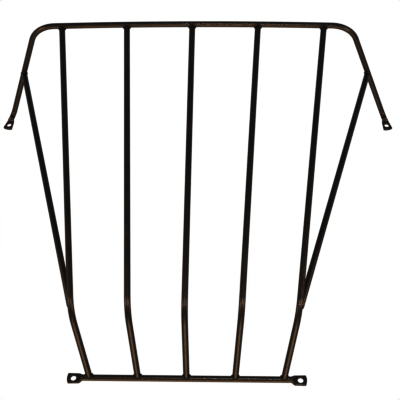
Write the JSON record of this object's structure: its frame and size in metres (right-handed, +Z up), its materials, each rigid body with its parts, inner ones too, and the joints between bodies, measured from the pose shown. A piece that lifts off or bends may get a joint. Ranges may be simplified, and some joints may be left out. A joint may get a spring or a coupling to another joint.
{
  "type": "wall hay rack feeder",
  "caption": "Wall-mounted hay rack: a splayed hoop of round steel bar with bent bars, side braces and a bottom rail, bolted to a wall through flat tabs.",
  "frame": {"origin": "on the wall plane, midway between the two bolt holes of the bottom rail", "axes": "+Z up, +X to the right as seen from the front, the rack stands out from the wall towards -Y"},
  "size_m": [0.7608, 0.2493, 0.5775],
  "materials": {
    "black_powder_coat": "satin black powder coat over round steel bar",
    "coated_weld_bead": "satin black powder coat over a rippled weld bead"
  },
  "bodies": {
    "root": {"top_hoop": "black_powder_coat", "bottom_rail": "black_powder_coat", "bar_outer_left": "black_powder_coat", "bar_inner_left": "black_powder_coat", "bar_centre": "black_powder_coat", "bar_inner_right": "black_powder_coat", "bar_outer_right": "black_powder_coat", "brace_left": "black_powder_coat", "brace_right": "black_powder_coat", "weld_top_outer_left": "coated_weld_bead", "weld_top_inner_left": "coated_weld_bead", "weld_top_centre": "coated_weld_bead", "weld_top_inner_right": "coated_weld_bead", "weld_top_outer_right": "coated_weld_bead", "weld_bottom_outer_left": "coated_weld_bead", "weld_bottom_inner_left": "coated_weld_bead", "weld_bottom_centre": "coated_weld_bead", "weld_bottom_inner_right": "coated_weld_bead", "weld_bottom_outer_right": "coated_weld_bead", "weld_arm_left": "coated_weld_bead", "weld_arm_right": "coated_weld_bead", "weld_foot_left": "coated_weld_bead", "weld_foot_right": "coated_weld_bead"}
  },
  "joints": []
}
